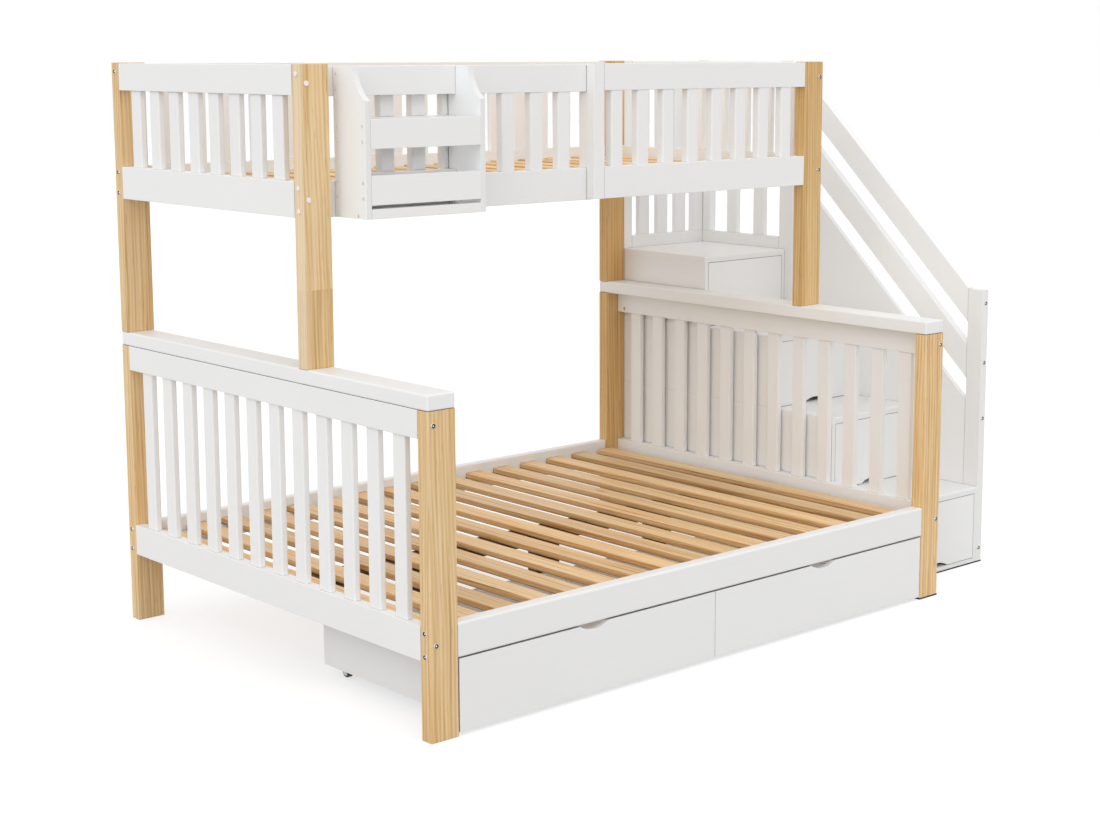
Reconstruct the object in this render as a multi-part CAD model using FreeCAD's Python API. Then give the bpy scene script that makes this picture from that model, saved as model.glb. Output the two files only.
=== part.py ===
import FreeCAD, Part
import math
import os

# Bunk bed with storage stairs: a wide lower bed, a narrower upper bed over its back part, and a
# flight of drawer steps against the right end.  Millimetres, +Z up.  +X runs along the beds towards
# the stairs, +Y from the open front to the back.  Sizes below are worked out in a bench frame whose
# corner is the lower bed's front left corner on the floor; every piece is then moved so that the
# origin is the middle of the whole footprint, on the floor.

# ---- beds and posts ----
bed_length = 1985.0
lower_width = 1480.0
upper_width = 972.0
post_w = 85.0
post_d = 41.0
lower_post_h = 830.6
cap_t = 40.6
upper_post_h = 781.2
post_round = 2.0
cap_round = 5.0
board_round = 1.5
rail_round = 6.0

# ---- rails and upright slats of the two beds ----
end_rail_t = 32.0
front_rail_t = 40.0
back_rail_t = 33.0
lower_rail_z = 202.0
lower_rail_h = 90.0
cap_rail_h = 71.6
upper_rail_z = 1262.0
upper_rail_h = 93.0
guard_top_rail_h = 77.0
guard_top_drop = 2.0
upright_w = 50.0
upright_t = 20.0
upright_round = 5.0
lower_end_uprights = 12
upper_end_uprights = 8
entry_uprights = 4
entry_stile_w = 54.0
back_guard_uprights = 17

# ---- upper front guard: two sections, the left one set back and lapped behind the right ----
section_t = 33.0
section_stile_w = 40.6
section_join_offset = 5.8
section_uprights = 8
section_upright_w = 45.5
section_upright_t = 28.5
section_end_gap = 60.7
left_section_drop = 3.4

# ---- mattress slats and what they lie on ----
slat_w = 67.0
slat_t = 18.0
slat_count = 16
slat_left_gap = 23.6
slat_right_gap = 30.4
slat_side_gap = 1.0
slat_round = 3.0
lower_slat_drop = 28.0
upper_slat_drop = 34.0
ledger_w = 26.0
ledger_h = 32.0
beam_w = 92.0
beam_front_y = 688.0
beam_h = 32.0
leg_w = 94.0
leg_d = 40.0
leg_every_slats = 4
leg_count = 3

# ---- bolts ----
bolt_r = 4.0
bolt_clearance = 0.2
bolt_head_r = 7.0
bolt_head_h = 3.0
bolt_head_round = 1.2
bolt_socket_r = 3.2
bolt_socket_depth = 1.8
bolt_bite = 45.0
bolt_half_spacing = 29.5
top_rail_bolt_drop = 25.0
end_bolt_drop = 8.0
sink_clearance = 0.5
post_bolt_lift = 9.0
low_post_bolt_z = 49.0

# ---- hanging book caddy on the upper front guard ----
caddy_from_post = 36.0
caddy_w = 391.0
caddy_depth = 138.4
caddy_board_t = 16.8
caddy_h = 388.0
caddy_top_depth = 85.0
caddy_shoulder_drop = 87.0
caddy_shoulder_sag = 11.0
caddy_low_board_z = 35.5
caddy_high_board_z = 179.5
caddy_front_board_h = 75.5
caddy_back_rail_t = 33.0
caddy_lip_h = 25.5
caddy_round = 1.0
screw_head_r = 4.5
screw_head_h = 1.2
screw_r = 2.0
screw_length = 38.0
screw_inset = 18.0
screw_edge_gap = 12.0

# ---- stairs ----
stair_front_y = 157.0
step_2_setback = 286.0
step_3_setback = 257.0
step_4_setback = 332.0
stair_left_side_t = 18.0
stair_right_side_t = 15.0
stair_side_reveal = 1.5
stair_inner_w = 374.5
stair_base_t = 18.0
tread_t = 20.0
tread_round = 5.0
first_tread_top = 258.0
step_rise = 242.0
step_count = 4
stair_back_t = 9.0

# ---- stair drawers ----
front_gap = 1.6
drawer_front_t = 16.0
stair_box_depth = 375.0
stair_box_h = 150.0
box_board_t = 12.0
box_bottom_t = 6.0
box_bottom_lift = 8.0
box_side_clearance = 3.0
runner_w = 16.0
runner_h = 12.0
runner_lift = 8.0
runner_gap = 0.4
grip_half_w = 51.0
grip_depth = 14.0
drawer_edge_round = 2.0

# ---- stair posts, sloping panel, handrails and landing guard ----
stair_post_t = 30.0
stair_post_d = 60.0
stair_post_h = 914.0
sloped_panel_t = 18.0
handrail_t = 28.0
handrail_h = 113.0
handrail_round = 3.0
handrail_start_z = 918.0
handrail_pitch = 188.0
handrail_count = 2
panel_drop = 374.0
guard_frame_t = 30.0
landing_rail_h = 80.0
landing_rail_above = 43.0
landing_stile_w = 46.0
landing_side_stile_w = 38.0
landing_upright_w = 55.0
landing_back_uprights = 3
landing_side_uprights = 2

# ---- drawers under the lower bed ----
under_gap = 3.0
under_middle_gap = 1.4
under_front_z = 9.0
under_front_t = 18.0
under_front_top_gap = 3.0
under_box_inset = 13.0
under_box_z = 39.0
under_box_h = 111.0
under_box_depth = 593.0
under_board_t = 15.0
under_bottom_t = 9.0

# ---- castors ----
wheel_r = 16.0
wheel_w = 16.0
wheel_lift = 0.3
wheel_bevel = 1.5
tyre_groove = 1.0
axle_r = 3.0
axle_clearance = 0.08
castor_side_inset = 50.0
castor_end_inset = 39.0
castor_plate_t = 2.5
castor_plate_w = 42.0
castor_cheek_t = 2.0
castor_cheek_gap = 0.6
castor_cheek_reach = 9.0

# ---- levels and places worked out from the sizes above ----
lower_top_z = lower_post_h + cap_t
bunk_top_z = lower_top_z + upper_post_h
upper_y = lower_width - upper_width
left_x = 0.0
right_x = bed_length
inner_left_x = post_w
inner_right_x = bed_length - post_w
lower_rail_top = lower_rail_z + lower_rail_h
upper_rail_top = upper_rail_z + upper_rail_h
cap_rail_z = lower_post_h - cap_rail_h
guard_rail_top = bunk_top_z - guard_top_drop
guard_rail_z = guard_rail_top - guard_top_rail_h
section_back_y = upper_y + section_t
left_section_back_y = section_back_y + section_t
back_inner_y = lower_width - back_rail_t
lower_front_inner_y = front_rail_t
stair_back_y = back_inner_y
section_join_x = bed_length / 2 + section_join_offset
slat_first_x = end_rail_t + slat_left_gap
slat_pitch = (bed_length - end_rail_t - slat_right_gap - slat_w - slat_first_x) / (slat_count - 1)
leg_spacing = leg_every_slats * slat_pitch
tread_tops = [first_tread_top + step_rise * i for i in range(step_count)]
step_fronts = [stair_front_y]
for setback in (step_2_setback, step_3_setback, step_4_setback):
    step_fronts.append(step_fronts[-1] + setback)
landing_top = tread_tops[-1]
stair_left_x = right_x
stair_right_x = stair_left_x + stair_left_side_t + stair_inner_w + stair_right_side_t
stair_outer_x = stair_right_x + stair_post_t
landing_post_y = step_fronts[-1] - stair_post_d / 2
rise_per_run = (bunk_top_z - handrail_start_z) / (landing_post_y - stair_front_y - stair_post_d)
footprint_front_y = -bolt_head_h
footprint_back_y = lower_width + bolt_head_h
origin_shift = FreeCAD.Vector(-(stair_outer_x - bolt_head_h) / 2,
                              -(footprint_front_y + footprint_back_y) / 2, 0)

nodes = {}


def add(name, solids):
    """File solids under a node name, in the bench frame."""
    nodes.setdefault(name, []).extend(solids if isinstance(solids, list) else [solids])


def rounded(solid, radius, pick):
    """Fillet the edges that pick accepts, never past half of the thinnest wall."""
    box = solid.BoundBox
    limit = 0.45 * min(box.XLength, box.YLength, box.ZLength)
    chosen = [edge for edge in solid.Edges if pick(edge)]
    return solid.makeFillet(min(radius, limit), chosen) if chosen else solid


def runs_along(axis):
    """Test for straight edges parallel to one axis, or for every edge."""
    def test(edge):
        if axis == "all":
            return True
        ends = edge.Vertexes[-1].Point - edge.Vertexes[0].Point
        return abs(abs(getattr(ends, axis)) - ends.Length) < 1e-6
    return test


def board(x, y, z, radius=0.0, along="all"):
    """A board between the pairs x, y and z, with the edges along one axis rounded."""
    solid = Part.makeBox(x[1] - x[0], y[1] - y[0], z[1] - z[0], FreeCAD.Vector(x[0], y[0], z[0]))
    return rounded(solid, radius, runs_along(along)) if radius else solid


def cylinder(radius, length, start, direction):
    return Part.makeCylinder(radius, length, FreeCAD.Vector(*start), FreeCAD.Vector(*direction))


def even_gaps(start, end, width, count):
    """Left ends of count boards of one width with equal gaps between start and end."""
    gap = (end - start - count * width) / (count + 1)
    return [start + gap + i * (width + gap) for i in range(count)]


def centred(middle, size):
    return (middle - size / 2, middle + size / 2)


# ---- posts and cap boards ----
front_y = (0.0, post_d)
back_y = (lower_width - post_d, lower_width)
upper_front_y = (upper_y, upper_y + post_d)
left_post_x = (left_x, left_x + post_w)
right_post_x = (right_x - post_w, right_x)
for side, x in (("left", left_post_x), ("right", right_post_x)):
    for row, low_y, high_y in (("front", front_y, upper_front_y), ("back", back_y, back_y)):
        add(f"lower_post_{row}_{side}", board(x, low_y, (0.0, lower_post_h), post_round, "z"))
        add(f"upper_post_{row}_{side}", board(x, high_y, (lower_top_z, bunk_top_z), post_round, "z"))
    add("cap_boards", board(x, (0.0, lower_width), (lower_post_h, lower_top_z), cap_round))

# ---- lower bed: rails and uprights of the two ends, side rails ----
left_rail_x = (left_x, left_x + end_rail_t)
right_rail_x = (right_x - end_rail_t, right_x)
for side, x in (("left", left_rail_x), ("right", right_rail_x)):
    y = (front_y[1], back_y[0])
    rails = [board(x, y, (lower_rail_z, lower_rail_top), board_round, "y"),
             board(x, y, (cap_rail_z, lower_post_h), board_round, "y")]
    add(f"lower_{side}_end_rails", rails)
    upright_x = centred(sum(x) / 2, upright_t)
    for start in even_gaps(y[0], y[1], upright_w, lower_end_uprights):
        add(f"lower_{side}_end_uprights",
            board(upright_x, (start, start + upright_w), (lower_rail_top, cap_rail_z),
                  upright_round, "z"))
for y in ((0.0, lower_front_inner_y), (back_inner_y, lower_width)):
    add("lower_side_rails",
        board((inner_left_x, inner_right_x), y, (lower_rail_z, lower_rail_top), rail_round, "x"))


# ---- mattress slats, the ledgers under their ends, and the lower centre beam on its legs ----
def slat_bed(level, y0, y1, slat_top):
    """Slats from inner face y0 to y1, or to the back posts at the ends, on a ledger each side."""
    slat_z = (slat_top - slat_t, slat_top)
    ledger_z = (slat_z[0] - ledger_h, slat_z[0])
    for i in range(slat_count):
        start = slat_first_x + i * slat_pitch
        meets_post = start < inner_left_x or start + slat_w > inner_right_x
        far_y = min(y1, back_y[0]) if meets_post else y1
        add(f"{level}_bed_slats",
            board((start, start + slat_w), (y0 + slat_side_gap, far_y - slat_side_gap), slat_z,
                  slat_round, "y"))
    ledger_x = (inner_left_x, inner_right_x)
    for y in ((y0, y0 + ledger_w), (y1 - ledger_w, y1)):
        add(f"{level}_slat_ledgers", board(ledger_x, y, ledger_z))
    return slat_z[0]


lower_slat_under = slat_bed("lower", lower_front_inner_y, back_inner_y, lower_rail_top - lower_slat_drop)
upper_slat_under = slat_bed("upper", left_section_back_y, back_inner_y, upper_rail_top - upper_slat_drop)
packer_x = (section_join_x + section_stile_w, inner_right_x)
add("upper_slat_ledgers",
    board(packer_x, (section_back_y, left_section_back_y), (upper_slat_under - ledger_h, upper_slat_under)))
beam_y = (beam_front_y, beam_front_y + beam_w)
beam_z = (lower_slat_under - beam_h, lower_slat_under)
add("centre_beam", board((left_x + end_rail_t, right_x - end_rail_t), beam_y, beam_z))
for i in range(leg_count):
    leg_x = centred(bed_length / 2 + (i - (leg_count - 1) / 2) * leg_spacing, leg_w)
    add("centre_legs", board(leg_x, centred(sum(beam_y) / 2, leg_d), (0.0, beam_z[0]), post_round, "z"))

# ---- upper bed: left end, right end with the way in from the landing ----
upper_end_y = (upper_front_y[1], back_y[0])
low_z = (upper_rail_z, upper_rail_top)
top_z = (guard_rail_z, guard_rail_top)
end_starts = even_gaps(upper_end_y[0], upper_end_y[1], upright_w, upper_end_uprights)
add("upper_left_end_rails",
    [board(left_rail_x, upper_end_y, z, board_round, "y") for z in (low_z, top_z)])
for start in end_starts:
    add("upper_left_end_uprights",
        board(centred(sum(left_rail_x) / 2, upright_t), (start, start + upright_w),
              (upper_rail_top, guard_rail_z), upright_round, "z"))
entry_stile_y = (end_starts[entry_uprights], end_starts[entry_uprights] + entry_stile_w)
entry_rail_y = (upper_end_y[0], entry_stile_y[1])
add("upper_right_end_rails",
    [board(right_rail_x, upper_end_y, low_z, board_round, "y"),
     board(right_rail_x, entry_rail_y, top_z, board_round, "y")])
for start in end_starts[:entry_uprights]:
    add("upper_right_end_uprights",
        board(centred(sum(right_rail_x) / 2, upright_t), (start, start + upright_w),
              (upper_rail_top, guard_rail_z), upright_round, "z"))
add("upper_right_end_uprights",
    board(right_rail_x, entry_stile_y, (upper_rail_top, guard_rail_z), board_round, "z"))

# ---- upper bed: long guard at the back ----
back_guard_y = (back_inner_y, lower_width)
back_guard_x = (inner_left_x, inner_right_x)
add("upper_back_guard_rails",
    [board(back_guard_x, back_guard_y, z, board_round, "x") for z in (low_z, top_z)])
back_starts = even_gaps(back_guard_x[0], back_guard_x[1], upright_w, back_guard_uprights)
for start in back_starts:
    add("upper_back_guard_uprights",
        board((start, start + upright_w), centred(sum(back_guard_y) / 2, upright_t),
              (upper_rail_top, guard_rail_z), upright_round, "z"))
upright_pitch = back_starts[1] - back_starts[0]


# ---- upper bed: the two sections of the front guard ----
def guard_section(name, rail_x, stile_x, y, right_end, drop):
    """Two rails, a stile and uprights stepped back from the right end, all lowered by drop."""
    low = (low_z[0] - drop, low_z[1] - drop)
    top = (top_z[0] - drop, top_z[1] - drop)
    rails = [board(rail_x, y, z, board_round, "x") for z in (low, top)]
    add(f"front_guard_{name}_frame", rails + [board(stile_x, y, (low[0], top[1]), board_round, "z")])
    for i in range(section_uprights):
        right = right_end - section_end_gap - i * upright_pitch
        add("front_guard_uprights",
            board((right - section_upright_w, right), centred(sum(y) / 2, section_upright_t),
                  (low[1], top[0]), upright_round, "z"))


stile_x = (section_join_x, section_join_x + section_stile_w)
guard_section("right", (stile_x[1], inner_right_x), stile_x, (upper_y, section_back_y), inner_right_x, 0.0)
guard_section("left", (left_x + end_rail_t, stile_x[0]), stile_x, (section_back_y, left_section_back_y),
              stile_x[0], left_section_drop)
rebate = Part.makeBox(inner_left_x, upper_front_y[1] - section_back_y, bunk_top_z,
                      FreeCAD.Vector(left_x, section_back_y, 0))
nodes["front_guard_left_frame"] = [solid.cut(rebate) for solid in nodes["front_guard_left_frame"]]

# ---- hanging book caddy ----
caddy_x = (inner_left_x + caddy_from_post, inner_left_x + caddy_from_post + caddy_w)
caddy_y = (section_back_y - caddy_depth, section_back_y)
caddy_bottom_z = upper_rail_z - left_section_drop
caddy_z = (caddy_bottom_z, caddy_bottom_z + caddy_h)
caddy_inner_x = (caddy_x[0] + caddy_board_t, caddy_x[1] - caddy_board_t)
shoulder_top = FreeCAD.Vector(0, caddy_y[1] - caddy_top_depth, caddy_z[1])
shoulder_low = FreeCAD.Vector(0, caddy_y[0], caddy_z[1] - caddy_shoulder_drop)
chord = shoulder_low - shoulder_top
sag_way = FreeCAD.Vector(0, -chord.z, chord.y).normalize()
shoulder_mid = (shoulder_top + shoulder_low) * 0.5 + sag_way * caddy_shoulder_sag


def caddy_side(x0):
    """One side panel, with a hollow shoulder at its upper front corner."""
    corners = [shoulder_low, FreeCAD.Vector(0, caddy_y[0], caddy_z[0]),
               FreeCAD.Vector(0, caddy_y[1], caddy_z[0]), FreeCAD.Vector(0, caddy_y[1], caddy_z[1]),
               shoulder_top]
    edges = [Part.makeLine(a, b) for a, b in zip(corners, corners[1:])]
    edges.append(Part.Arc(shoulder_top, shoulder_mid, shoulder_low).toShape())
    panel = Part.Face(Part.Wire(edges)).extrude(FreeCAD.Vector(caddy_board_t, 0, 0))
    panel.translate(FreeCAD.Vector(x0, 0, 0))
    return rounded(panel, caddy_round, lambda edge: runs_along("z")(edge)
                   and edge.BoundBox.YMin < caddy_y[0] + 1e-6)


add("caddy_sides", [caddy_side(caddy_x[0]), caddy_side(caddy_inner_x[1])])
caddy_front_y = (caddy_y[0], caddy_y[0] + caddy_board_t)
caddy_rail_y = (caddy_y[1] - caddy_back_rail_t, caddy_y[1])
caddy_levels = [caddy_z[0] + caddy_low_board_z, caddy_z[0] + caddy_high_board_z]
for level in caddy_levels:
    z = (level, level + caddy_front_board_h)
    add("caddy_front_boards", board(caddy_inner_x, caddy_front_y, z, caddy_round, "x"))
caddy_rail_levels = caddy_levels + [caddy_z[1] - caddy_front_board_h]
for level in caddy_rail_levels:
    z = (level, level + caddy_front_board_h)
    add("caddy_back_rails", board(caddy_inner_x, caddy_rail_y, z, caddy_round, "x"))
add("caddy_shelf",
    [board(caddy_inner_x, (caddy_front_y[1], caddy_y[1]), (caddy_z[0], caddy_z[0] + caddy_board_t)),
     board(caddy_inner_x, caddy_front_y, (caddy_z[0], caddy_z[0] + caddy_lip_h), caddy_round, "x")])

# ---- stairs: base, treads, side panels, back ----
stair_x = (stair_left_x, stair_right_x)
cavity_x = (stair_left_x + stair_left_side_t, stair_right_x - stair_right_side_t)
carcass_back_y = stair_back_y - stair_back_t
add("stair_base", board(stair_x, (step_fronts[0], carcass_back_y), (0.0, stair_base_t)))
cavities = []
for i, top in enumerate(tread_tops):
    tread_z = (top - tread_t, top)
    y = (step_fronts[i], carcass_back_y)
    tread = board(stair_x, y, tread_z)
    tread = rounded(tread, tread_round, lambda edge: runs_along("x")(edge)
                    and edge.BoundBox.YMax < step_fronts[i] + 1e-6
                    and edge.BoundBox.ZMin > tread_z[1] - 1e-6)
    add("stair_landing" if top == landing_top else "stair_treads", tread)
    cavity_z = (tread_tops[i - 1] if i else stair_base_t, tread_z[0])
    cavities.append((y[0], cavity_z))
    for x in ((stair_x[0] + stair_side_reveal, cavity_x[0]), (cavity_x[1], stair_x[1])):
        add("stair_side_panels", board(x, y, cavity_z))
add("stair_back_panel", board(stair_x, (carcass_back_y, stair_back_y), (0.0, landing_top)))

# ---- stairs: posts, sloping outer panel, handrails ----
outer_x = (stair_right_x, stair_outer_x)
front_post_y = (stair_front_y, stair_front_y + stair_post_d)
add("stair_front_post", board(outer_x, front_post_y, (0.0, stair_post_h), post_round, "z"))
landing_post = (landing_post_y, landing_post_y + stair_post_d)
guard_back_y = (stair_back_y, stair_back_y + guard_frame_t)
add("landing_posts", board(outer_x, landing_post, (0.0, bunk_top_z), post_round, "z"))
add("landing_posts", board(outer_x, guard_back_y, (0.0, bunk_top_z), post_round, "z"))
back_stile_x = (stair_left_x, stair_left_x + landing_stile_w)
add("landing_posts", board(back_stile_x, guard_back_y, (0.0, bunk_top_z), post_round, "z"))


def sloped(x, drop, height):
    """A piece between the front post and the landing post whose top edge climbs with the flight."""
    y0 = front_post_y[1]
    y1 = landing_post[0]
    top0 = handrail_start_z - drop
    top1 = top0 + rise_per_run * (y1 - y0)
    low0 = top0 - height if height else 0.0
    low1 = top1 - height if height else 0.0
    points = [FreeCAD.Vector(x[0], *p) for p in ((y0, low0), (y1, low1), (y1, top1), (y0, top0), (y0, low0))]
    return Part.Face(Part.makePolygon(points)).extrude(FreeCAD.Vector(x[1] - x[0], 0, 0))


handrail_x = (stair_right_x, stair_right_x + handrail_t)
for i in range(handrail_count):
    rail = sloped(handrail_x, i * handrail_pitch, handrail_h)
    add("handrails", rounded(rail, handrail_round, lambda edge: edge.BoundBox.YLength > stair_post_d))
panel_x = (stair_right_x, stair_right_x + sloped_panel_t)
add("stair_outer_panels", sloped(panel_x, panel_drop, 0.0))
landing_rail_top = landing_top + landing_rail_above
landing_low_z = (landing_rail_top - landing_rail_h, landing_rail_top)
add("stair_outer_panels", board(panel_x, (landing_post[1], stair_back_y), (0.0, landing_low_z[0])))

# ---- landing guard: back and outer side ----
guard_x = (back_stile_x[1], stair_right_x)
guard_y = (landing_post[1], stair_back_y)
for z in (landing_low_z, top_z):
    add("landing_back_guard", board(guard_x, guard_back_y, z, board_round, "x"))
    add("landing_side_guard", board(outer_x, guard_y, z, board_round, "y"))
upright_z = (landing_rail_top, guard_rail_z)
corner_y = (stair_back_y - landing_side_stile_w, stair_back_y)
add("landing_side_guard", board(outer_x, corner_y, upright_z, board_round, "z"))
corner_x = (stair_right_x - landing_stile_w, stair_right_x)
add("landing_back_guard", board(corner_x, guard_back_y, upright_z, board_round, "z"))
for start in even_gaps(guard_x[0], corner_x[0], landing_upright_w, landing_back_uprights):
    add("landing_back_guard",
        board((start, start + landing_upright_w), centred(sum(guard_back_y) / 2, upright_t),
              upright_z, upright_round, "z"))
for start in even_gaps(guard_y[0], corner_y[0], landing_upright_w, landing_side_uprights):
    add("landing_side_guard",
        board(centred(sum(outer_x) / 2, upright_t), (start, start + landing_upright_w),
              upright_z, upright_round, "z"))


# ---- drawers ----
def grip_cut(middle_x, edge_z, y, inward):
    """The half-moon finger cut-out in a drawer front's lower (inward +1) or upper (-1) edge."""
    radius = (grip_half_w ** 2 + grip_depth ** 2) / (2 * grip_depth)
    centre_z = edge_z - inward * (radius - grip_depth)
    return cylinder(radius, y[1] - y[0], (middle_x, y[0], centre_z), (0, 1, 0))


def drawer(name, x, z, front_y0, front_t, box_x, box_y1, box_z, wall, floor_t, floor_lift, grip_low):
    """A board front with its finger cut-out and, behind it, a box of two sides, a back and a floor."""
    front_range = (front_y0, front_y0 + front_t)
    front = board(x, front_range, z, drawer_edge_round, "y")
    edge_z, inward = (z[0], 1) if grip_low else (z[1], -1)
    add(name, front.cut(grip_cut(sum(x) / 2, edge_z, front_range, inward)))
    y = (front_range[1], box_y1)
    inner_x = (box_x[0] + wall, box_x[1] - wall)
    add(name, [board((box_x[0], inner_x[0]), y, box_z), board((inner_x[1], box_x[1]), y, box_z),
               board(inner_x, (y[1] - wall, y[1]), box_z),
               board(inner_x, (y[0], y[1] - wall), (box_z[0] + floor_lift, box_z[0] + floor_lift + floor_t))])


for i, (y0, cavity_z) in enumerate(cavities):
    front_z = (cavity_z[0] + front_gap, cavity_z[1] - front_gap)
    runner_z = (cavity_z[0] + runner_lift, cavity_z[0] + runner_lift + runner_h)
    box_z = (runner_z[1] + runner_gap, runner_z[1] + runner_gap + stair_box_h)
    box_end = y0 + drawer_front_t + stair_box_depth
    drawer(f"stair_drawer_{i + 1}", (cavity_x[0] + front_gap, cavity_x[1] - front_gap), front_z, y0,
           drawer_front_t, (cavity_x[0] + box_side_clearance, cavity_x[1] - box_side_clearance),
           box_end, box_z, box_board_t, box_bottom_t, box_bottom_lift, True)
    for x in ((cavity_x[0], cavity_x[0] + runner_w), (cavity_x[1] - runner_w, cavity_x[1])):
        add("stair_drawer_runners", board(x, (y0 + drawer_front_t + front_gap, box_end), runner_z))

# ---- drawers under the lower bed, on castors ----
under_front_z1 = lower_rail_z - under_front_top_gap
under_w = (inner_right_x - inner_left_x - 2 * under_gap - under_middle_gap) / 2
axle_z = wheel_r + wheel_lift
plate_z = (under_box_z - castor_plate_t, under_box_z)
for i, side in enumerate(("left", "right")):
    x0 = inner_left_x + under_gap + i * (under_w + under_middle_gap)
    x = (x0, x0 + under_w)
    box_x = (x[0] + under_box_inset, x[1] - under_box_inset)
    box_end = under_front_t + under_box_depth
    drawer(f"under_drawer_{side}", x, (under_front_z, under_front_z1), 0.0, under_front_t, box_x,
           box_end, (under_box_z, under_box_z + under_box_h), under_board_t, under_bottom_t, 0.0, False)
    for row, wheel_y in (("front", under_front_t + castor_end_inset), ("back", box_end - castor_end_inset)):
        for wheel_x in (box_x[0] + castor_side_inset, box_x[1] - castor_side_inset):
            half = wheel_w / 2
            wheel = cylinder(wheel_r, wheel_w, (wheel_x - half, wheel_y, axle_z), (1, 0, 0))
            wheel = wheel.makeChamfer(wheel_bevel, wheel.Edges)
            bore = cylinder(axle_r + axle_clearance, wheel_w, (wheel_x - half, wheel_y, axle_z), (1, 0, 0))
            ring = cylinder(wheel_r, tyre_groove, (wheel_x - tyre_groove / 2, wheel_y, axle_z), (1, 0, 0))
            core = cylinder(wheel_r - tyre_groove, tyre_groove, (wheel_x - tyre_groove / 2, wheel_y, axle_z),
                            (1, 0, 0))
            add(f"wheels_{side}_{row}", wheel.cut(bore).cut(ring.cut(core)))
            plate_x = centred(wheel_x, castor_plate_w)
            plate_y = centred(wheel_y, castor_plate_w)
            bracket = board(plate_x, plate_y, plate_z)
            reach = half + castor_cheek_gap
            for sign in (-1, 1):
                cheek_x = sorted((wheel_x + sign * reach, wheel_x + sign * (reach + castor_cheek_t)))
                cheek = board(cheek_x, centred(wheel_y, 2 * castor_cheek_reach),
                              (axle_z - castor_cheek_reach, plate_z[0]))
                bracket = bracket.fuse(cheek)
            axle_start = (wheel_x - reach, wheel_y, axle_z)
            bracket = bracket.fuse(cylinder(axle_r, 2 * reach, axle_start, (1, 0, 0)))
            add(f"castors_{side}", bracket.removeSplitter())


# ---- bolts: each one is drilled through its post and into the rail behind it ----
def bolt(seat, way, length):
    """A round head with a socket, seated at a point, and its plain shank."""
    crown = seat - way * bolt_head_h
    head = Part.makeCylinder(bolt_head_r, bolt_head_h, crown, way)
    head = rounded(head, bolt_head_round, lambda edge: (edge.BoundBox.Center - crown).Length < 1e-6)
    socket = Part.makeCylinder(bolt_socket_r, bolt_socket_depth, crown, way)
    shank = Part.makeCylinder(bolt_r, length, seat, way)
    return head.fuse(shank).cut(socket).removeSplitter()


def drill(targets, tool):
    """Take a hole's shape out of the pieces that it reaches."""
    for name in targets:
        nodes[name] = [solid.cut(tool) if solid.distToShape(tool)[0] < 1e-6 else solid
                       for solid in nodes[name]]


def fasten(node, point, direction, through, bite, targets, sunk=0.0):
    """Put in a bolt that goes through one piece and bites into the next, in clearance holes."""
    way = FreeCAD.Vector(*direction)
    seat = FreeCAD.Vector(*point) + way * sunk
    length = through + bite - sunk
    add(node, bolt(seat, way, length))
    tool = Part.makeCylinder(bolt_r, length, seat, way)
    if sunk:
        mouth = Part.makeCylinder(bolt_head_r + bolt_clearance, sunk, seat - way * sunk, way)
        tool = tool.fuse(mouth)
    drill(targets, tool)


lower_rail_mid = lower_rail_z + lower_rail_h / 2
upper_rail_mid = upper_rail_z + upper_rail_h / 2
side_bolt_z = [lower_rail_mid + bolt_half_spacing, lower_rail_mid - bolt_half_spacing]
guard_bolt_z = [upper_rail_mid + bolt_half_spacing, upper_rail_mid - bolt_half_spacing,
                bunk_top_z - top_rail_bolt_drop]
sunk_head = bolt_head_h + sink_clearance
front_section = {"left": "front_guard_left_frame", "right": "front_guard_right_frame"}
for side, x, way, rail_x in (("left", left_x, 1, left_rail_x), ("right", right_x, -1, right_rail_x)):
    for row, low_y, high_y in (("front", front_y, upper_front_y), ("back", back_y, back_y)):
        sunk = sunk_head if (side, row) == ("right", "back") else 0.0
        into = 1 if row == "front" else -1
        for z in side_bolt_z:
            fasten("bed_bolts", (x, sum(low_y) / 2, z), (way, 0, 0), post_w, bolt_bite,
                   [f"lower_post_{row}_{side}", "lower_side_rails"], sunk)
        face = low_y[0] if row == "front" else low_y[1]
        for z in (lower_rail_mid, cap_rail_z + cap_rail_h / 2):
            fasten("bed_bolts", (sum(rail_x) / 2, face, z), (0, into, 0), post_d, bolt_bite,
                   [f"lower_post_{row}_{side}", f"lower_{side}_end_rails"])
        guard = "upper_back_guard_rails" if row == "back" else front_section[side]
        bite = -bolt_bite if (side, row) == ("left", "front") else bolt_bite
        for z in guard_bolt_z:
            fasten("bed_bolts", (x, sum(high_y) / 2, z), (way, 0, 0), post_w, bite,
                   [f"upper_post_{row}_{side}", guard], sunk)
        face = high_y[0] if row == "front" else high_y[1]
        for z in (upper_rail_mid, guard_rail_z + guard_top_rail_h / 2 - end_bolt_drop):
            if (side, row) == ("right", "back") and z > upper_rail_mid:
                continue
            fasten("bed_bolts", (sum(rail_x) / 2, face, z), (0, into, 0), post_d, bolt_bite,
                   [f"upper_post_{row}_{side}", f"upper_{side}_end_rails"])

# ---- bolts of the stair's front post ----
post_bolts = [(handrail_start_z - handrail_h / 2 + post_bolt_lift, "handrails"),
              (handrail_start_z - handrail_pitch - handrail_h / 2, "handrails"),
              (handrail_start_z - panel_drop - handrail_h / 2, "stair_outer_panels"),
              (low_post_bolt_z, "stair_outer_panels")]
for z, target in post_bolts:
    fasten("stair_bolts", (stair_right_x + sloped_panel_t / 2 + bolt_r, front_post_y[0], z), (0, 1, 0),
           stair_post_d, bolt_bite, ["stair_front_post", target])


# ---- caddy screws, driven through the side panels into the ends of the boards ----
def screw(x, y, z, way):
    head = cylinder(screw_head_r, screw_head_h, (x - way * screw_head_h, y, z), (way, 0, 0))
    shank = cylinder(screw_r, screw_length, (x, y, z), (way, 0, 0))
    return head.fuse(shank).removeSplitter()


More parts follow.
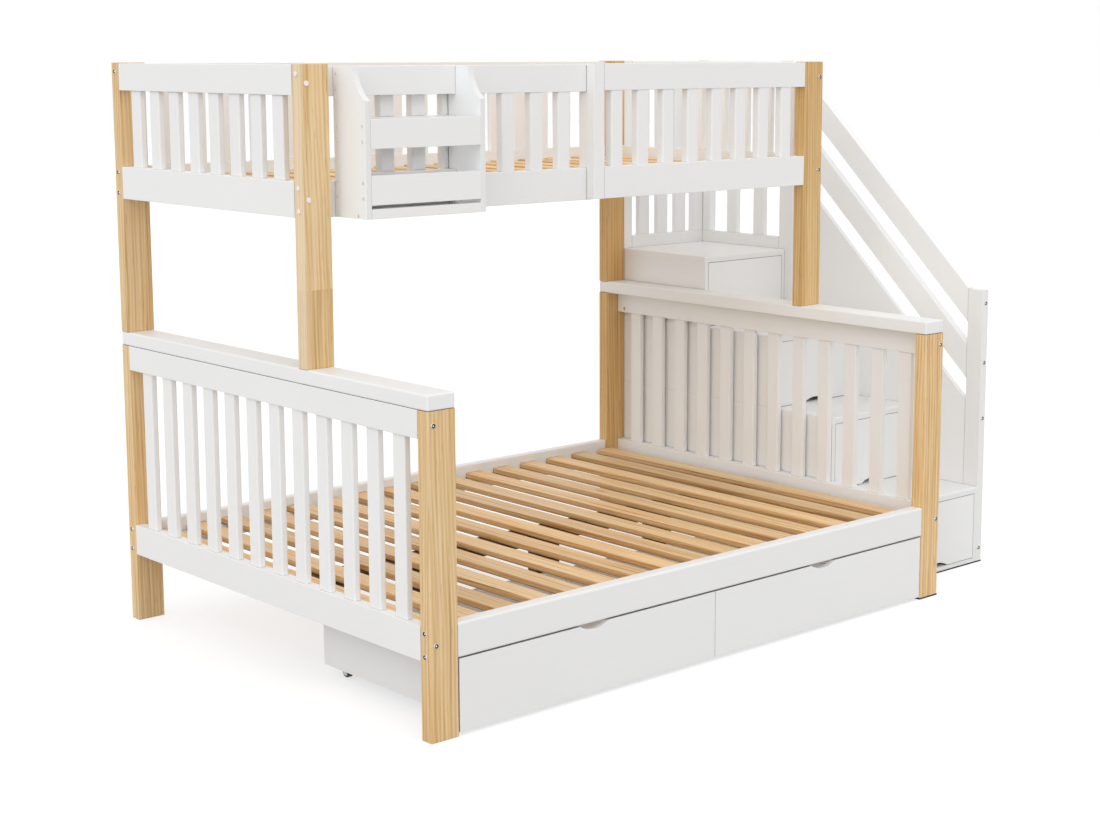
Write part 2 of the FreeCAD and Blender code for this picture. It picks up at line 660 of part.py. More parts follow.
caddy_targets = ["caddy_sides", "caddy_front_boards", "caddy_back_rails", "caddy_shelf"]
screw_places = []
for level in caddy_levels:
    for z in (level + screw_inset, level + caddy_front_board_h - screw_inset):
        screw_places.append((caddy_y[0] + screw_edge_gap, z))
for level in caddy_rail_levels:
    for z in (level + screw_inset, level + caddy_front_board_h - screw_inset):
        screw_places.append((caddy_y[1] - screw_edge_gap, z))
for y in (caddy_front_y[1] + screw_inset, caddy_y[1] - screw_inset):
    screw_places.append((y, caddy_z[0] + caddy_board_t / 2))
for y, z in screw_places:
    for x, way in ((caddy_x[0], 1), (caddy_x[1], -1)):
        add("caddy_screws", screw(x, y, z, way))
        drill(caddy_targets, cylinder(screw_r, screw_length, (x, y, z), (way, 0, 0)))

# ---- export ----
os.makedirs("parts", exist_ok=True)
for name, solids in nodes.items():
    shape = Part.Compound([piece for solid in solids for piece in solid.Solids])
    shape.translate(origin_shift)
    shape.exportStep(os.path.join("parts", name + ".step"))
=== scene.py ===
import math

import bmesh
import bpy
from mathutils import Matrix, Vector


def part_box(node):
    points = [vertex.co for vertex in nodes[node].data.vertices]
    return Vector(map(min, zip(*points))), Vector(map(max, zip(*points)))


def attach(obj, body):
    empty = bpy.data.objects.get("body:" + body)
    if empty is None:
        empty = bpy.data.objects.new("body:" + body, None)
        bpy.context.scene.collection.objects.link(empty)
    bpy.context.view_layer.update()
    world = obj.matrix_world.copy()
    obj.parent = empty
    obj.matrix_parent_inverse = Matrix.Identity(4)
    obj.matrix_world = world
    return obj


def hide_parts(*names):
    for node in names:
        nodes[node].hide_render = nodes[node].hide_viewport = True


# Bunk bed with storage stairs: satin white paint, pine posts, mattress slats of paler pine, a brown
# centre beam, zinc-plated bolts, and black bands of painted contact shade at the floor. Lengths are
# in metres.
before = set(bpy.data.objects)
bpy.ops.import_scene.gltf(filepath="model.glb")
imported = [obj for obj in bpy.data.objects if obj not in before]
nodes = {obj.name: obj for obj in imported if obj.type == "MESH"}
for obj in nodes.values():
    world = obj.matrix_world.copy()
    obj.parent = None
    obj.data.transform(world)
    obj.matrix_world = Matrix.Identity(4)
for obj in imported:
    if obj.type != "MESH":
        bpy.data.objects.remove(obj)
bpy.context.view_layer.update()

AXES = {"x": 0, "y": 1, "z": 2}
leftwards = (-1.0, 0.0, 0.0)
facing_cosine = 0.7
# painted shade in shut gaps: how near another face must stand, and the shade's colour
crevice_shade_reach = 0.006
crevice_shade_colour = (0.030, 0.024, 0.020)


# ------------------------------------------------------------------ shader helpers
class Nodes:
    """A node tree under construction: node() adds a node and wires its inputs."""

    def __init__(self, owner, output_kind):
        owner.use_nodes = True
        self.tree = owner.node_tree
        self.tree.nodes.clear()
        self.output = self.node(output_kind)

    def node(self, kind, inputs=None, **settings):
        made = self.tree.nodes.new(kind)
        for key, value in settings.items():
            setattr(made, key, value)
        for key, value in (inputs or {}).items():
            self.feed(made.inputs[key], value)
        return made

    def feed(self, socket, value):
        if isinstance(value, bpy.types.NodeSocket):
            self.tree.links.new(value, socket)
        else:
            socket.default_value = value

    def surface(self, made):
        self.tree.links.new(made.outputs[0], self.output.inputs["Surface"])

    def math(self, operation, first, second=0.0):
        return self.node("ShaderNodeMath", {0: first, 1: second}, operation=operation).outputs[0]

    def seen_directly(self):
        """1 on camera, mirror and glass rays, 0 on the rays that carry soft light."""
        rays = self.node("ShaderNodeLightPath").outputs
        seen = self.math("MAXIMUM", rays["Is Camera Ray"], rays["Is Glossy Ray"])
        return self.math("MAXIMUM", seen, rays["Is Transmission Ray"])


class Shader(Nodes):
    """A material under construction."""

    def __init__(self, name):
        self.material = bpy.data.materials.new(name)
        super().__init__(self.material, "ShaderNodeOutputMaterial")

    def weighted(self, *pairs):
        """The sum of values, each times its weight."""
        total = None
        for value, weight in pairs:
            part = self.math("MULTIPLY", value, weight)
            total = part if total is None else self.math("ADD", total, part)
        return total

    def vector_math(self, operation, first, second):
        return self.node("ShaderNodeVectorMath", {0: first, 1: second}, operation=operation).outputs

    def scaled(self, vector, factors):
        return self.vector_math("MULTIPLY", vector, factors)[0]

    def shifted(self, vector, value, factors):
        """A vector, moved along each axis by a value times that axis's factor."""
        moves = {i: self.math("MULTIPLY", value, factor) for i, factor in enumerate(factors)}
        offset = self.node("ShaderNodeCombineXYZ", moves).outputs[0]
        return self.vector_math("ADD", vector, offset)[0]

    def object_place(self):
        return self.node("ShaderNodeTexCoord").outputs["Object"]

    def place_along(self, vector, axis):
        return self.node("ShaderNodeSeparateXYZ", {0: vector}).outputs[AXES[axis]]

    def noise(self, vector, scale, detail=2.0, roughness=0.5):
        inputs = {"Vector": vector, "Scale": scale, "Detail": detail, "Roughness": roughness}
        return self.node("ShaderNodeTexNoise", inputs).outputs["Fac"]

    def white_noise(self, seed):
        made = self.node("ShaderNodeTexWhiteNoise", {"W": seed}, noise_dimensions="1D")
        return made.outputs["Value"]

    def ramp(self, factor, stops):
        made = self.node("ShaderNodeValToRGB", {"Fac": factor})
        elements = made.color_ramp.elements
        while len(elements) < len(stops):
            elements.new(0.5)
        for element, (position, colour) in zip(elements, stops):
            element.position = position
            element.color = (*colour, 1.0)
        return made.outputs["Color"]

    def mix(self, factor, first, second, blend="MIX"):
        made = self.node("ShaderNodeMix", data_type="RGBA", blend_type=blend)
        self.feed(made.inputs[0], factor)
        for index, colour in ((6, first), (7, second)):
            plain = isinstance(colour, tuple)
            self.feed(made.inputs[index], (*colour, 1.0) if plain else colour)
        return made.outputs[2]

    def fit(self, value, low, high, start=0.0, end=1.0):
        """Map start..end to low..high, and hold those beyond."""
        inputs = {"Value": value, "From Min": start, "From Max": end, "To Min": low, "To Max": high}
        return self.node("ShaderNodeMapRange", inputs).outputs[0]

    def brightened(self, colour, value):
        return self.node("ShaderNodeHueSaturation", {"Color": colour, "Value": value}).outputs[0]

    def board_coordinates(self, rows=None, joint=None):
        """Object coordinates, moved by a different amount on each board; sets self.board, 0..1.

        rows is (axis, first edge, pitch) where one node holds a row of boards, and joint is
        (axis, place) where a board is made of two lengths jointed end to end.
        """
        place = self.object_place()
        self.board = self.node("ShaderNodeObjectInfo").outputs["Random"]
        if rows:
            axis, first_edge, pitch = rows
            past = self.math("SUBTRACT", self.place_along(place, axis), first_edge)
            row = self.math("FLOOR", self.math("DIVIDE", past, pitch))
            self.board = self.white_noise(self.math("ADD", row, self.board))
        if joint:
            axis, level = joint
            beyond = self.math("GREATER_THAN", self.place_along(place, axis), level)
            self.board = self.white_noise(self.math("ADD", beyond, self.board))
        return self.shifted(place, self.board, (31.7, 57.3, 83.9))

    def facing(self, direction):
        """1 on faces that look along an object direction, 0 on all others."""
        normal = self.node("ShaderNodeTexCoord").outputs["Normal"]
        turned = self.vector_math("DOT_PRODUCT", normal, direction)["Value"]
        return self.math("GREATER_THAN", turned, facing_cosine)

    def crevice_shade(self, colour, strength):
        """Painted shade: deepen a colour where another face stands close by, as in a shut gap."""
        near = self.node("ShaderNodeAmbientOcclusion", {"Distance": crevice_shade_reach}, samples=4)
        shut = self.fit(near.outputs["AO"], strength, 0.0, 0.20, 0.58)
        return self.mix(shut, colour, crevice_shade_colour)

    def finished(self, colour, roughness, height, strength, distance, metallic=0.0):
        """The material, with its colour, roughness and a bump of some strength and depth."""
        bump = self.node("ShaderNodeBump", {"Height": height, "Strength": strength,
                                            "Distance": distance})
        self.surface(self.node("ShaderNodeBsdfPrincipled",
                               {"Base Color": colour, "Metallic": metallic,
                                "Roughness": roughness, "Normal": bump.outputs[0]}))
        return self.material


def along(axis, along_factor):
    """Factors that stretch a texture along one axis and leave the others."""
    factors = [1.0] * 3
    factors[AXES[axis]] = along_factor
    return factors


def times(colour, factor):
    return tuple(channel * factor for channel in colour)


# ------------------------------------------------------------------ pine
def growth_lines(s, axis, wander, growth, fibre, tones):
    """Fine straight growth lines, broad soft bands and fibre, from pale to dark wood."""
    pale, deep, dark = tones
    broad = s.noise(s.scaled(wander, along(axis, 0.06)), 30.0)
    waves = {"Vector": s.scaled(wander, along(axis, 0.02)), "Scale": 52.0, "Distortion": 3.2,
             "Detail": 3.0, "Detail Scale": 1.6, "Detail Roughness": 0.6}
    bands = s.node("ShaderNodeTexWave", waves, wave_type="BANDS", bands_direction="DIAGONAL",
                   wave_profile="SIN").outputs["Fac"]
    grain = s.weighted((growth, 0.62), (bands, 0.12), (broad, 0.20), (fibre, 0.10))
    middle = tuple((a + b) / 2 for a, b in zip(pale, deep))
    return s.ramp(grain, [(0.40, pale), (0.50, middle), (0.59, deep), (0.74, dark)])


def blemishes(s, axis, colour, place, wander, dark, fleck):
    """Slow ruddy drift, short resin flecks and small knots."""
    slow = s.noise(s.scaled(place, along(axis, 0.45)), 5.5)
    colour = s.mix(s.fit(slow, 0.0, 0.55, 0.40, 0.66), colour, (1.0, 0.915, 0.80), "MULTIPLY")
    flecks = s.noise(s.scaled(place, along(axis, 0.05)), 330.0, 2.0, 0.4)
    colour = s.mix(s.fit(flecks, 0.0, fleck, 0.66, 0.75), colour, dark)
    cells = s.node("ShaderNodeTexVoronoi", {"Vector": s.scaled(wander, along(axis, 0.3)),
                                            "Scale": 5.5, "Randomness": 1.0})
    knot = s.fit(cells.outputs["Distance"], 0.6, 0.0, 0.025, 0.065)
    return s.mix(knot, colour, times(dark, 0.62))


def board_tone(s, colour, spread):
    """A tone and a brightness of its own for each board."""
    colour = s.mix(s.fit(s.board, 0.0, 3.0 * spread), colour, (1.0, 0.90, 0.76), "MULTIPLY")
    share = s.math("FRACT", s.math("MULTIPLY", s.board, 7.31))
    return s.brightened(colour, s.fit(share, 1.0 - spread, 1.0 + spread * 0.5))


def sapwood_edge(s, colour, axis, edge, width):
    """Paler wood along the low edge of a board, fading out over a width."""
    side = s.place_along(s.object_place(), axis)
    return s.mix(s.fit(side, 0.45, 0.0, edge, edge + width), colour, (0.93, 0.80, 0.60))


def painted_left_shade(s, colour, dark, underside, thickness):
    """Painted shade: a darker left face, darker still towards its lower edge, where the gap is
    shaded.
    """
    flank = s.facing(leftwards)
    colour = s.mix(flank, colour, (0.88, 0.77, 0.66), "MULTIPLY")
    level = s.place_along(s.object_place(), "z")
    foot = s.fit(level, 0.60, 0.0, underside, underside + thickness * 0.35)
    return s.mix(s.math("MULTIPLY", foot, flank), colour, times(dark, 0.30))


def pine(name, axis, tones, rows=None, joint=None, sapwood=None, left_shade=None, fleck=0.6, spread=0.12):
    """Planed pine with its grain along an axis; tones are its pale, deep and dark colours."""
    s = Shader(name)
    dark = tones[2]
    place = s.board_coordinates(rows, joint)
    drift = s.noise(s.scaled(place, along(axis, 0.30)), 6.0)
    wander = s.shifted(place, drift, (0.014, 0.014, 0.014))
    growth = s.noise(s.scaled(wander, along(axis, 0.010)), 105.0, 4.0, 0.66)
    fibre = s.noise(s.scaled(place, along(axis, 0.02)), 520.0, 4.0, 0.6)
    colour = growth_lines(s, axis, wander, growth, fibre, tones)
    colour = blemishes(s, axis, colour, place, wander, dark, fleck)
    colour = board_tone(s, colour, spread)
    if sapwood:
        colour = sapwood_edge(s, colour, *sapwood)
    # painted shade on the slats' left faces, deepest along their lower edges
    if left_shade:
        colour = painted_left_shade(s, colour, dark, *left_shade)
    height = s.weighted((growth, 0.6), (fibre, 0.4))
    # painted shade deepens the colour in shut gaps
    return s.finished(s.crevice_shade(colour, 0.85), s.fit(growth, 0.42, 0.56), height, 0.16, 0.0012)


# ------------------------------------------------------------------ paint, metal and plastic
def paint(name, axis, tone, left_face_light_tone=None):
    """Satin white lacquer on wood: roller stipple over faint long grain that telegraphs through."""
    s = Shader(name)
    place = s.board_coordinates()
    cloud = s.noise(place, 2.4, 3.0, 0.55)
    grain = s.noise(s.scaled(place, along(axis, 0.02)), 190.0, 4.0, 0.6)
    stipple = s.noise(place, 950.0)
    colour = s.mix(s.fit(cloud, 0.0, 1.0), tone, times(tone, 0.965))
    line_tone = tuple(c * factor for c, factor in zip(tone, (0.90, 0.885, 0.86)))
    colour = s.mix(s.fit(grain, 0.0, 0.08, 0.42, 0.72), colour, line_tone)
    colour = s.brightened(colour, s.fit(s.board, 0.985, 1.005))
    # painted light: left faces take their own paler, cooler tone, against warm light bounced off
    # the pine
    if left_face_light_tone:
        colour = s.mix(s.facing(leftwards), colour, left_face_light_tone)
    height = s.weighted((grain, 0.5), (stipple, 0.5))
    # painted shade deepens the colour in shut gaps
    return s.finished(s.crevice_shade(colour, 0.9), s.fit(cloud, 0.36, 0.48), height, 0.10, 0.0006)


def metal(name, tone, rough, cloud_scale):
    """Zinc-plated steel: fine turning marks and a slight cloudiness."""
    s = Shader(name)
    place = s.object_place()
    cloud = s.noise(place, cloud_scale, 4.0, 0.6)
    marks = s.noise(s.scaled(place, along("z", 6.0)), 1400.0)
    colour = s.mix(cloud, tone, times(tone, 0.78))
    return s.finished(colour, s.fit(cloud, *rough), marks, 0.12, 0.0003, metallic=1.0)


def plastic(name, tone, rough):
    """Moulded nylon, also the black of the painted contact shade: a fine spark-eroded grain with
    paler scuffs.
    """
    s = Shader(name)
    place = s.object_place()
    grain = s.noise(place, 1600.0, 3.0, 0.6)
    scuff = s.noise(place, 160.0, 5.0, 0.7)
    worn = tuple(c * 2.2 + 0.02 for c in tone)
    colour = s.mix(s.fit(scuff, 0.0, 0.5, 0.55, 0.75), tone, worn)
    return s.finished(colour, s.fit(scuff, *rough), grain, 0.15, 0.0002)


# ------------------------------------------------------------------ materials
honey = ((0.870, 0.665, 0.400), (0.720, 0.475, 0.210), (0.400, 0.205, 0.075))
amber = ((0.772, 0.534, 0.260), (0.632, 0.383, 0.132), (0.353, 0.165, 0.052))
straw = ((0.920, 0.705, 0.430), (0.775, 0.500, 0.225), (0.400, 0.190, 0.065))
umber = ((0.115, 0.055, 0.026), (0.075, 0.034, 0.016), (0.030, 0.013, 0.006))
beech = ((0.62, 0.46, 0.29), (0.50, 0.34, 0.19), (0.30, 0.17, 0.08))

# the upper front left post is made of two lengths, with a pale strip down its left edge
joint_lift = 0.205
sapwood_width = 0.008
jointed_low, jointed_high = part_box("upper_post_front_left")
post_pine = pine("post_pine", "z", honey, spread=0.06)
amber_pine = pine("post_pine_amber", "z", amber, spread=0.04)
jointed_pine = pine("post_pine_jointed", "z", honey, joint=("z", jointed_low.z + joint_lift),
                    sapwood=("x", jointed_low.x, sapwood_width), spread=0.10)

# both beds' mattress slats stand in one row along X, at the same places
slat_count = 16
slat_w = 0.067
slat_low, slat_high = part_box("lower_bed_slats")
slat_thick = slat_high.z - slat_low.z
slat_pitch = (slat_high.x - slat_low.x - slat_w) / (slat_count - 1)
slat_rows = ("x", slat_low.x - (slat_pitch - slat_w) / 2, slat_pitch)


def slat_pine(name, node):
    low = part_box(node)[0]
    return pine(name, "y", straw, rows=slat_rows, left_shade=(low.z, slat_thick), fleck=0.45, spread=0.17)


white_tone = (0.905, 0.902, 0.895)
# the stairs take the same white paint made brighter, as painted light where they stand in shade
stair_lightened_tone = (0.935, 0.935, 0.930)
white = {axis: paint("white_paint_" + axis, axis, white_tone) for axis in "xyz"}
stair_white_lightened = {axis: paint("stair_paint_" + axis, axis, stair_lightened_tone) for axis in "xy"}
# the caddy's left faces take a painted paler, cooler light
caddy_white = paint("caddy_paint", "z", (0.870, 0.868, 0.864), left_face_light_tone=(0.940, 0.955, 0.970))
cap_cream = paint("bolt_cap_cream", "z", (0.930, 0.900, 0.850))
zinc = metal("zinc_steel", (0.93, 0.92, 0.90), (0.22, 0.38), 60.0)
# near-black steel is painted shade in the bolts' grooves
groove_shade_steel = metal("groove_shade_steel", (0.035, 0.028, 0.022), (0.35, 0.55), 120.0)
sheet_steel = metal("pressed_steel", (0.62, 0.62, 0.63), (0.30, 0.5), 90.0)
nylon = plastic("black_nylon", (0.030, 0.030, 0.032), (0.42, 0.6))
# near-black for the bands of painted contact shade at the floor
foot_shade_black = plastic("black_foot_shade", (0.006, 0.006, 0.006), (0.80, 0.92))

own_material = {
    "lower_bed_slats": slat_pine("slat_pine", "lower_bed_slats"),
    "upper_bed_slats": slat_pine("upper_slat_pine", "upper_bed_slats"),
    "upper_post_front_left": jointed_pine, "upper_post_front_right": amber_pine,
    "upper_post_back_right": amber_pine, "lower_post_back_right": amber_pine,
    "centre_beam": pine("beam_brown", "x", umber), "centre_legs": pine("leg_brown", "z", umber),
    "stair_drawer_runners": pine("runner_beech", "y", beech), "caddy_sides": caddy_white,
    "handrails": stair_white_lightened["y"], "stair_outer_panels": stair_white_lightened["y"],
    "bed_bolts": zinc, "stair_bolts": zinc, "caddy_screws": zinc,
}
boards_along_x = {
    "lower_side_rails", "lower_slat_ledgers", "upper_slat_ledgers", "upper_back_guard_rails",
    "front_guard_left_frame", "front_guard_right_frame", "caddy_front_boards",
    "caddy_back_rails", "caddy_shelf", "stair_base", "stair_treads", "stair_landing",
}
boards_along_y = {"cap_boards", "stair_side_panels"}


def material_for(name):
    """The finish of a node, from its name and the way its boards run."""
    if name in own_material:
        return own_material[name]
    if name in boards_along_x:
        return white["x"]
    if name.startswith(("lower_post_", "upper_post_")):
        return post_pine
    if name.startswith("castors_"):
        return sheet_steel
    if name.startswith("wheels_"):
        return nylon
    if name in boards_along_y or name.endswith("_rails"):
        return white["y"]
    if name.startswith("stair_drawer"):
        return stair_white_lightened["x"]
    return white["x"] if "drawer" in name else white["z"]


for name, obj in nodes.items():
    for slot in obj.material_slots:
        slot.material = material_for(name)


# ------------------------------------------------------------------ mesh helpers
def ring_faces(work, lower, upper):
    """Faces between two closed loops of as many corners."""
    faces = []
    for k in range(len(lower)):
        following = (k + 1) % len(lower)
        faces.append(work.faces.new((lower[k], lower[following], upper[following], upper[k])))
    return faces


def loft(work, origin, outward, rings):
    """Skin rings of (radius, height) about an outward line; returns its bands of faces in order."""
    turn = outward.to_track_quat("Z", "Y").to_matrix()
    loops = []
    for ring in rings:
        loop = []
        for k, (radius, height) in enumerate(ring):
            angle = 2 * math.pi * k / len(ring)
            place = Vector((radius * math.cos(angle), radius * math.sin(angle), height))
            loop.append(work.verts.new(origin + turn @ place))
        loops.append(loop)
    bands = [ring_faces(work, lower, upper) for lower, upper in zip(loops, loops[1:])]
    work.faces.new(list(reversed(loops[0])))
    bands.append([work.faces.new(loops[-1])])
    return bands


def scene_object(name, work, materials, sharp_angle=None):
    """An object of the scene from a bmesh, smooth up to an angle in degrees if one is given."""
    mesh = bpy.data.meshes.new(name)
    work.to_mesh(mesh)
    work.free()
    if sharp_angle:
        for face in mesh.polygons:
            face.use_smooth = True
        mesh.set_sharp_from_angle(angle=math.radians(sharp_angle))
    piece = bpy.data.objects.new(name, mesh)
    bpy.context.scene.collection.objects.link(piece)
    for material in materials:
        mesh.materials.append(material)
    return piece


# ------------------------------------------------------------------ bolt and screw heads
head_segments = 24
head_share = 0.96
bolt_shank_r = 0.004
screw_shank_r = 0.002
screw_recess = 0.0026
cap_margin = 0.003
# material slots of the fastener heads: painted groove shade, then the pale cap
groove_shade_slot, cap_slot = 1, 2
cup_steps = ((0.80, 0.12), (0.42, 0.10), (0.38, 0.60), (0.30, 0.84), (0.12, 0.92))
shaded_cup_bands = 3
cross_steps = ((1.06, 1.0), (1.0, 0.94), (0.9, 0.45))


def islands(obj):
    """The points of each separate closed piece of a mesh."""
    work = bmesh.new()
    work.from_mesh(obj.data)
    bmesh.ops.remove_doubles(work, verts=work.verts, dist=1e-6)
    seen = set()
    found = []
    for start in work.verts:
        if start.index in seen:
            continue
        stack = [start]
        seen.add(start.index)
        points = []
        while stack:
            vert = stack.pop()
            points.append(vert.co.copy())
            for edge in vert.link_edges:
                other = edge.other_vert(vert)
                if other.index not in seen:
                    seen.add(other.index)
                    stack.append(other)
        found.append(points)
    work.free()
    return found


def fastener_frame(points):
    """(seat centre, outward direction, shank length, head radius, head height) of one fastener."""
    low = Vector([min(p[i] for p in points) for i in range(3)])
    high = Vector([max(p[i] for p in points) for i in range(3)])
    size = high - low
    centre = (low + high) / 2
    axis = max(range(3), key=lambda i: size[i])
    across = [i for i in range(3) if i != axis]
    radius = max(size[i] for i in across) / 2
    rim = head_share * radius
    head = [p[axis] for p in points if max(abs(p[i] - centre[i]) for i in across) > rim]
    at_high = sum(head) / len(head) > centre[axis]
    outward = Vector([0.0, 0.0, 0.0])
    outward[axis] = 1.0 if at_high else -1.0
    seat = centre.copy()
    seat[axis] = min(head) if at_high else max(head)
    crown, tail = (high[axis], low[axis]) if at_high else (low[axis], high[axis])
    return seat, outward, abs(seat[axis] - tail), radius, abs(crown - seat[axis])


def cross(angle):
    """Radius of the screws' soft four-armed recess."""
    return screw_recess * (0.42 + 0.58 * abs(math.cos(2 * angle)) ** 2.4)


def head_profile(radius, height, length, shank_r):
    """(radius, height) pairs up the shank, under the head and over its rounded rim."""
    return [(shank_r, -length), (shank_r, 0.0), (radius, 0.0), (radius, height * 0.55),
            (radius * 0.975, height * 0.80), (radius * 0.92, height * 0.95),
            (radius * 0.84, height)]


def crossed_head(work, data):
    """A screw with a cross recess."""
    seat, outward, length, radius, height = data
    profile = head_profile(radius, height, length, screw_shank_r)
    rings = [[pair] * head_segments for pair in profile]
    angles = [2 * math.pi * k / head_segments for k in range(head_segments)]
    for share, level in cross_steps:
        rings.append([(cross(angle) * share, height * level) for angle in angles])
    loft(work, seat, outward, rings)


def cupped_head(work, data):
    """A bolt with a groove round a bright boss, the groove in near-black steel as painted shade."""
    seat, outward, length, radius, height = data
    profile = head_profile(radius, height, length, bolt_shank_r)
    cup = [(radius * share, height * level) for share, level in cup_steps]
    bands = loft(work, seat, outward, [[pair] * head_segments for pair in profile + cup])
    rim = len(profile) - 1
    for band in bands[rim:rim + shaded_cup_bands]:
        for face in band:
            face.material_index = groove_shade_slot


def capped_head(work, data):
    """A bolt under a plain pale cap."""
    seat, outward, length, radius, height = data
    profile = head_profile(radius, height, length, bolt_shank_r)
    profile.append((radius * 0.45, height * 0.99))
    bands = loft(work, seat, outward, [[pair] * head_segments for pair in profile])
    for band in bands[1:]:
        for face in band:
            face.material_index = cap_slot


def bolt_head(work, data):
    """Capped on the upper front left post, cupped everywhere else."""
    on_post = all(low - cap_margin <= value <= high + cap_margin
                  for low, value, high in zip(jointed_low, data[0], jointed_high))
    (capped_head if on_post else cupped_head)(work, data)


def make_fasteners(piece_name, node, make_head):
    work = bmesh.new()
    for points in islands(nodes[node]):
        make_head(work, fastener_frame(points))
    bmesh.ops.recalc_face_normals(work, faces=work.faces)
    piece = scene_object(piece_name, work, (zinc, groove_shade_steel, cap_cream), sharp_angle=38)
    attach(piece, "frame")
    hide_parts(node)


make_fasteners("bed_bolt_set", "bed_bolts", bolt_head)
make_fasteners("stair_bolt_set", "stair_bolts", bolt_head)
make_fasteners("caddy_screw_set", "caddy_screws", crossed_head)

# ------------------------------------------------------------------ small wooden plug
plug_r = 0.0065
plug_height = 0.0016
plug_inset = 0.035
plug_drop = 0.058
plug_segments = 28
plug_steps = ((0.92, -0.6), (1.0, 0.0), (1.0, 0.45), (0.94, 0.8), (0.78, 0.96), (0.4, 1.0))


def wooden_plug(name, centre, outward):
    """A shallow domed plug pressed into a hole."""
    work = bmesh.new()
    profile = [(plug_r * share, plug_height * level) for share, level in plug_steps]
    loft(work, Vector(centre), Vector(outward), [[pair] * plug_segments for pair in profile])
    piece = scene_object(name, work, (post_pine,), sharp_angle=50)
    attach(piece, "frame")


rail_low, rail_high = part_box("lower_right_end_rails")
wooden_plug("rail_cover_cap", (rail_low.x, rail_high.y - plug_inset, rail_high.z - plug_drop),
            leftwards)

# ------------------------------------------------------------------ black bands of painted contact shade at the floor
# their outer side stands off the wood by foot_shade_stand, their inner side by foot_shade_slip
foot_shade_height = 0.0045
foot_shade_stand = 0.0006
foot_shade_slip = 0.00005


def ring_about(low, high, proud):
    """The four corners of a rectangle, grown by proud on every side."""
    return [(low.x - proud, low.y - proud), (high.x + proud, low.y - proud),
            (high.x + proud, high.y + proud), (low.x - proud, high.y + proud)]


def post_shoe(name, post):
    """A thin black band round the foot of a post, as painted contact shade."""
    low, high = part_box(post)
    outer = ring_about(low, high, foot_shade_stand)
    inner = ring_about(low, high, foot_shade_slip)
    work = bmesh.new()
    rings = []
    for corners, z in ((outer, 0.0), (outer, foot_shade_height), (inner, foot_shade_height), (inner, 0.0)):
        rings.append([work.verts.new((x, y, z)) for x, y in corners])
    for lower, upper in zip(rings, rings[1:] + rings[:1]):
        ring_faces(work, lower, upper)
    bmesh.ops.recalc_face_normals(work, faces=work.faces)
    piece = scene_object(name, work, (foot_shade_black,))
    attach(piece, "frame")


def floor_shade_strip(name, x0, x1, face_y):
    """A thin black strip along the foot of a front face, with square edges, as painted contact
    shade.
    """
    near, far = face_y - foot_shade_stand, face_y - foot_shade_slip
    work = bmesh.new()
    loops = []
    for z in (0.0, foot_shade_height):
        corners = ((x0, near), (x1, near), (x1, far), (x0, far))
        loops.append([work.verts.new((x, y, z)) for x, y in corners])
        work.faces.new(loops[-1])
    ring_faces(work, *loops)
    bmesh.ops.recalc_face_normals(work, faces=work.faces)
    piece = scene_object(name, work, (foot_shade_black,))
    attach(piece, "frame")


# painted contact shade at the foot of the front right post and along the stair base
post_shoe("post_shoe", "lower_post_front_right")
base_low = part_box("stair_base")[0]
floor_shade_strip("stair_base_strip", base_low.x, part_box("stair_front_post")[1].x, base_low.y)

# ------------------------------------------------------------------ floor
floor_half = 30.0
floor_drop = 0.0006
floor_bounce = (0.50, 0.50, 0.50, 1.0)
floor_shade = (0.42, 0.42, 0.42, 1.0)
floor_glow = 0.66
plain_white = (1.0, 1.0, 1.0, 1.0)


def floor_material():
    """Pale and faintly glowing where it is seen, so that it keeps only the object's shadow."""
    s = Shader("floor_white")
    bounce = s.node("ShaderNodeBsdfDiffuse", {"Color": floor_bounce})
    shade = s.node("ShaderNodeBsdfDiffuse", {"Color": floor_shade})
    glow = s.node("ShaderNodeEmission", {"Color": plain_white, "Strength": floor_glow})
    pale = s.node("ShaderNodeAddShader", {0: shade.outputs[0], 1: glow.outputs[0]})
    s.surface(s.node("ShaderNodeMixShader", {0: s.seen_directly(), 1: bounce.outputs[0],
                                             2: pale.outputs[0]}))
    return s.material


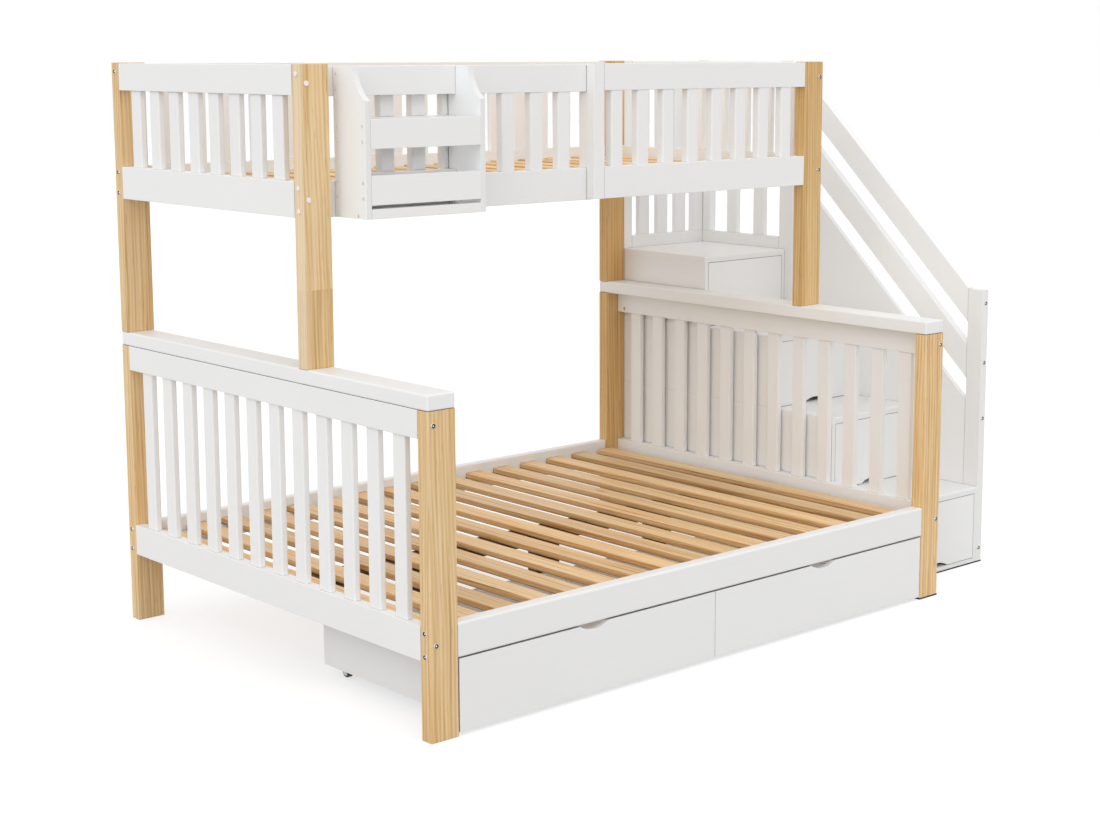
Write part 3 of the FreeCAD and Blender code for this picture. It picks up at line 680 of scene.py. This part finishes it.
sheet = bmesh.new()
floor_corners = ((-floor_half, -floor_half), (floor_half, -floor_half),
                 (floor_half, floor_half), (-floor_half, floor_half))
sheet.faces.new([sheet.verts.new((x, y, 0.0)) for x, y in floor_corners])
floor = scene_object("floor_sheet", sheet, (floor_material(),))
floor.location.z = -floor_drop

# ------------------------------------------------------------------ light
# the sky gives the soft light, and the card is what the camera and shiny surfaces see
sky_strength = 0.83
card_strength = 1.0

world = bpy.data.worlds.new("studio")
bpy.context.scene.world = world
studio = Nodes(world, "ShaderNodeOutputWorld")
sky = studio.node("ShaderNodeBackground", {"Color": plain_white, "Strength": sky_strength})
card = studio.node("ShaderNodeBackground", {"Color": plain_white, "Strength": card_strength})
studio.surface(studio.node("ShaderNodeMixShader", {0: studio.seen_directly(), 1: sky.outputs[0],
                                                   2: card.outputs[0]}))


def sun(name, towards, strength, angle):
    """A broad soft lamp; towards is the direction from the object to the lamp."""
    data = bpy.data.lights.new(name, "SUN")
    data.energy = strength
    data.angle = math.radians(angle)
    lamp = bpy.data.objects.new(name, data)
    lamp.rotation_euler = Vector(towards).to_track_quat("Z", "Y").to_euler()
    bpy.context.scene.collection.objects.link(lamp)


sun("key_softbox", (-0.88, -0.40, 0.52), 0.80, 60.0)
sun("front_softbox", (0.05, -0.90, 0.45), 0.30, 60.0)
sun("top_softbox", (0.10, 0.10, 1.0), 0.26, 75.0)

# ------------------------------------------------------------------ camera, at the photo's angle
camera_place = (-3.98182, -4.40488, 1.68045)
camera_dip = 8.8946
camera_heading = 47.5865
photo_width_px = 1100.0
focal_length_px = 1944.12
film_width = 36.0
view_shift = -0.05

camera_data = bpy.data.cameras.new("camera")
camera = bpy.data.objects.new("camera", camera_data)
bpy.context.scene.collection.objects.link(camera)
camera.location = camera_place
camera.rotation_euler = (math.radians(90.0 - camera_dip), 0.0, math.radians(camera_heading - 90.0))
camera_data.sensor_fit = "HORIZONTAL"
camera_data.sensor_width = film_width
camera_data.lens = film_width * focal_length_px / photo_width_px
camera_data.shift_x = view_shift
camera_data.shift_y = view_shift
camera_data.clip_start = 0.05
camera_data.clip_end = 200.0
bpy.context.scene.camera = camera
bpy.context.scene.view_settings.view_transform = "Standard"
